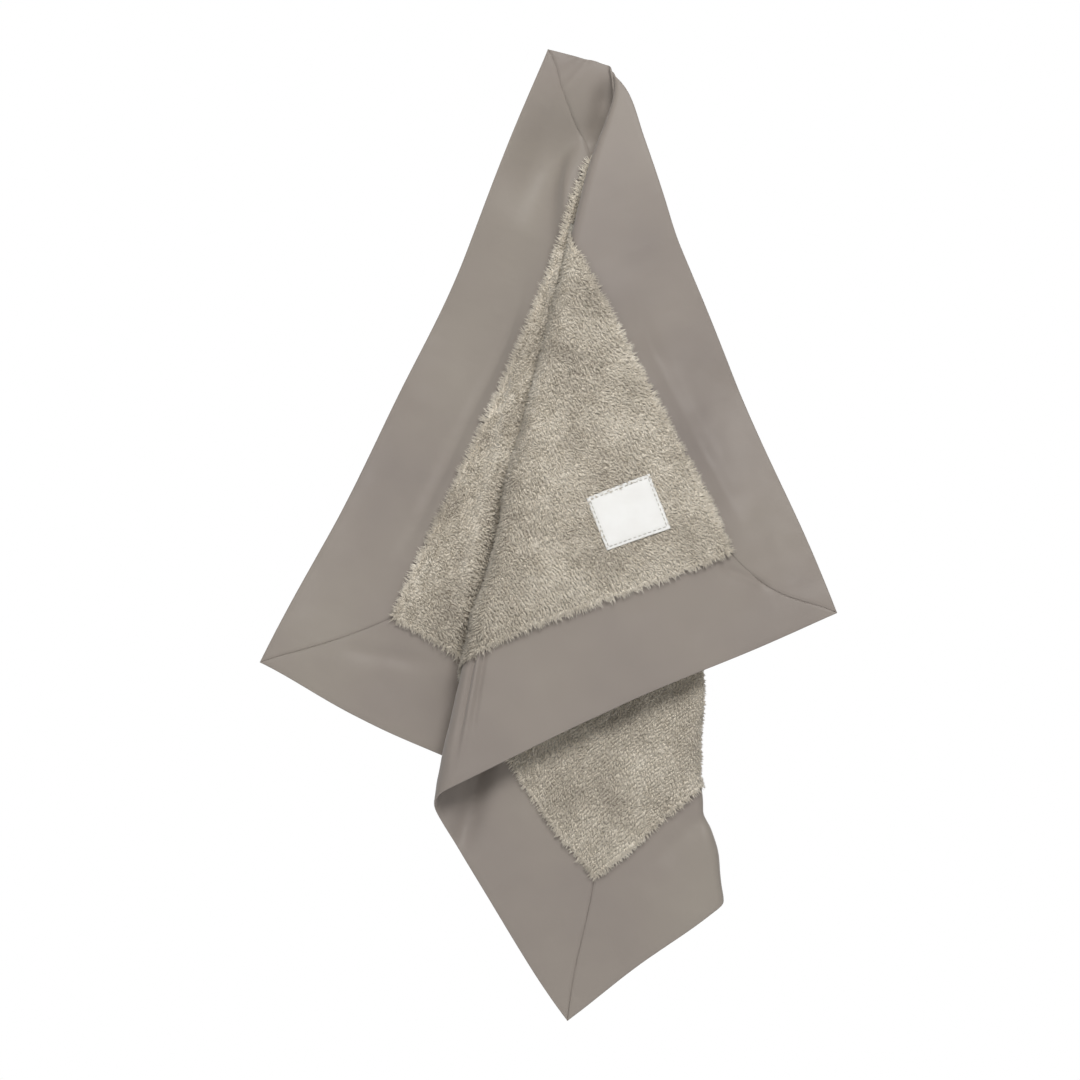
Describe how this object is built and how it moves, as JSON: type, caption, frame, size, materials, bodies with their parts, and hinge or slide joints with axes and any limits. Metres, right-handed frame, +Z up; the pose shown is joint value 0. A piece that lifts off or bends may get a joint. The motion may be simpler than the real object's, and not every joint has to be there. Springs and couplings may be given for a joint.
{
  "type": "comfort blanket",
  "caption": "Double-sided plush comfort blanket with a wide satin border and a blank sewn-on label, hung by one corner in soft folds.",
  "frame": {"origin": "the peg's bite on the blanket's top edge, halfway through the cloth", "axes": "+Z up along the hanging blanket, +Y to the back, the label side faces -Y"},
  "size_m": [0.3683, 0.0662, 0.6219],
  "materials": {
    "satin": "smooth satin weave with a faint sheen",
    "plush": "short soft pile",
    "label": "matt woven tape",
    "thread": "matt sewing thread"
  },
  "bodies": {
    "root": {"plush_front": "plush", "plush_back": "plush", "border_front_top": "satin", "border_front_left": "satin", "border_front_bottom": "satin", "border_front_right": "satin", "border_back_top": "satin", "border_back_left": "satin", "border_back_bottom": "satin", "border_back_right": "satin", "label": "label", "label_stitching": "thread"}
  },
  "joints": []
}
